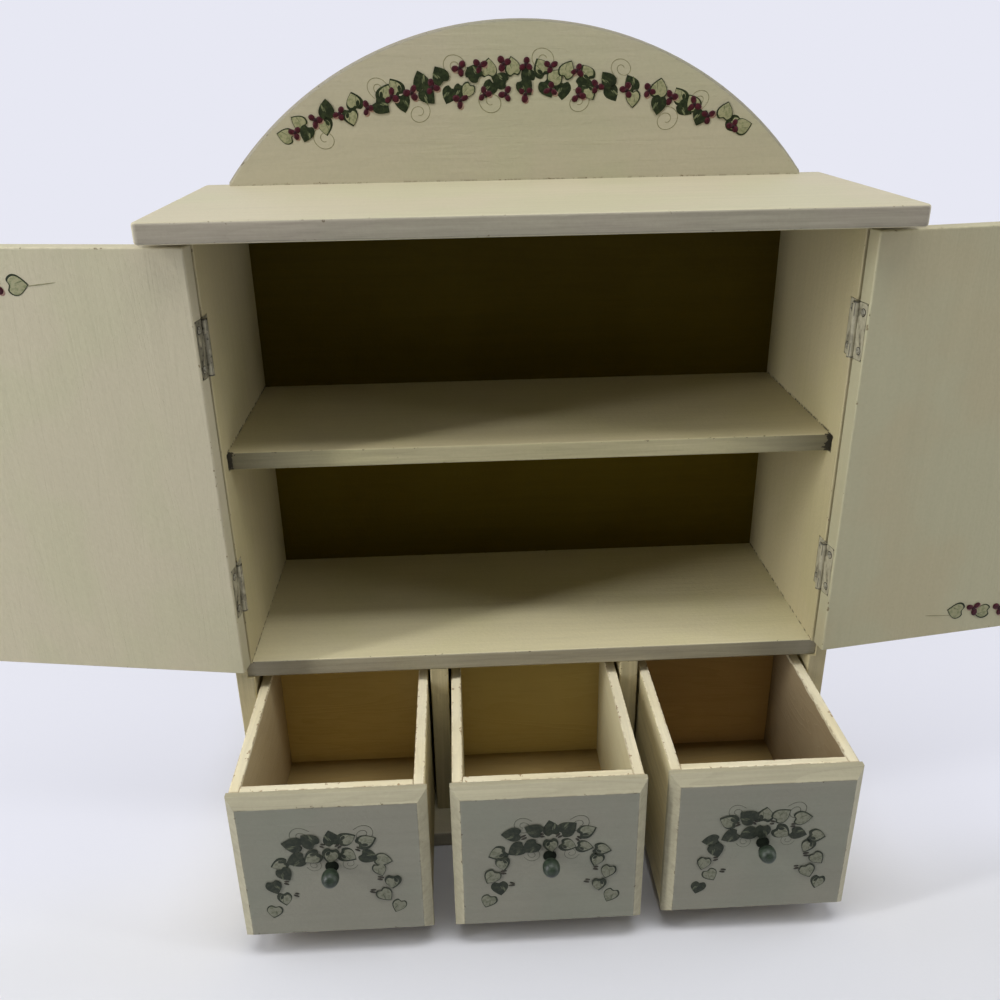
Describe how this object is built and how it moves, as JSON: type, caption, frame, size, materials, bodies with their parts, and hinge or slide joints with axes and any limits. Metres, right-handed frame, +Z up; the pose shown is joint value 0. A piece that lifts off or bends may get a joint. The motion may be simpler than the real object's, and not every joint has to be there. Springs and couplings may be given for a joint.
{
  "type": "jewelry cabinet",
  "caption": "Small free-standing jewelry cabinet with an arched pediment, a shelved compartment behind hinged doors and a row of pull-out drawers below.",
  "frame": {"origin": "centre of the underside of the base board", "axes": "+Z up, front towards -Y, +X to the viewer's right"},
  "size_m": [0.5594, 0.2097, 0.3983],
  "materials": {
    "cream_paint": "thin cream paint over pine, brush marks and chipped edges",
    "back_panel_paint": "thin cream paint over a plain back board",
    "sage_paint": "sage grey paint with cream chamfers",
    "drawer_pine": "bare pine, cream paint on the top edges",
    "hinge_steel": "dull steel, partly painted over",
    "green_metal": "dark green, worn to a soft gloss"
  },
  "bodies": {
    "cabinet": {"back_panel": "back_panel_paint", "back_panel_pins": "hinge_steel", "base_board": "cream_paint", "compartment_floor": "cream_paint", "left_divider": "cream_paint", "left_frame_hinge_screws": "hinge_steel", "left_lower_hinge_frame_leaf": "hinge_steel", "left_lower_hinge_pin": "hinge_steel", "left_side": "cream_paint", "left_upper_hinge_frame_leaf": "hinge_steel", "left_upper_hinge_pin": "hinge_steel", "middle_shelf": "cream_paint", "pediment": "cream_paint", "right_divider": "cream_paint", "right_frame_hinge_screws": "hinge_steel", "right_lower_hinge_frame_leaf": "hinge_steel", "right_lower_hinge_pin": "hinge_steel", "right_side": "cream_paint", "right_upper_hinge_frame_leaf": "hinge_steel", "right_upper_hinge_pin": "hinge_steel", "top_board": "cream_paint"},
    "left_door": {"left_door": "cream_paint", "left_door_hinge_screws": "hinge_steel", "left_door_knob": "green_metal", "left_door_knob_screw": "hinge_steel", "left_lower_hinge_door_leaf": "hinge_steel", "left_upper_hinge_door_leaf": "hinge_steel"},
    "right_door": {"right_door": "cream_paint", "right_door_hinge_screws": "hinge_steel", "right_door_knob": "green_metal", "right_door_knob_screw": "hinge_steel", "right_lower_hinge_door_leaf": "hinge_steel", "right_upper_hinge_door_leaf": "hinge_steel"},
    "left_drawer": {"left_drawer_bottom": "drawer_pine", "left_drawer_box_back": "drawer_pine", "left_drawer_box_front": "drawer_pine", "left_drawer_front_board": "sage_paint", "left_drawer_knob": "green_metal", "left_drawer_knob_screw": "hinge_steel", "left_drawer_left_wall": "drawer_pine", "left_drawer_right_wall": "drawer_pine"},
    "middle_drawer": {"middle_drawer_bottom": "drawer_pine", "middle_drawer_box_back": "drawer_pine", "middle_drawer_box_front": "drawer_pine", "middle_drawer_front_board": "sage_paint", "middle_drawer_knob": "green_metal", "middle_drawer_knob_screw": "hinge_steel", "middle_drawer_left_wall": "drawer_pine", "middle_drawer_right_wall": "drawer_pine"},
    "right_drawer": {"right_drawer_bottom": "drawer_pine", "right_drawer_box_back": "drawer_pine", "right_drawer_box_front": "drawer_pine", "right_drawer_front_board": "sage_paint", "right_drawer_knob": "green_metal", "right_drawer_knob_screw": "hinge_steel", "right_drawer_left_wall": "drawer_pine", "right_drawer_right_wall": "drawer_pine"}
  },
  "joints": [
    {"name": "left_door_hinge", "type": "hinge", "parent": "cabinet", "child": "left_door", "pos_m": [-0.1405, -0.0502, 0.21], "axis": [0, 0, 1], "range_deg": [-3, 189]},
    {"name": "right_door_hinge", "type": "hinge", "parent": "cabinet", "child": "right_door", "pos_m": [0.1405, -0.0502, 0.21], "axis": [0, 0, -1], "range_deg": [-3, 189]},
    {"name": "left_drawer_slide", "type": "slide", "parent": "cabinet", "child": "left_drawer", "axis": [0, 1, 0], "range_m": [-0.012, 0.076]},
    {"name": "middle_drawer_slide", "type": "slide", "parent": "cabinet", "child": "middle_drawer", "axis": [0, 1, 0], "range_m": [-0.012, 0.076]},
    {"name": "right_drawer_slide", "type": "slide", "parent": "cabinet", "child": "right_drawer", "axis": [0, 1, 0], "range_m": [-0.014, 0.074]}
  ]
}
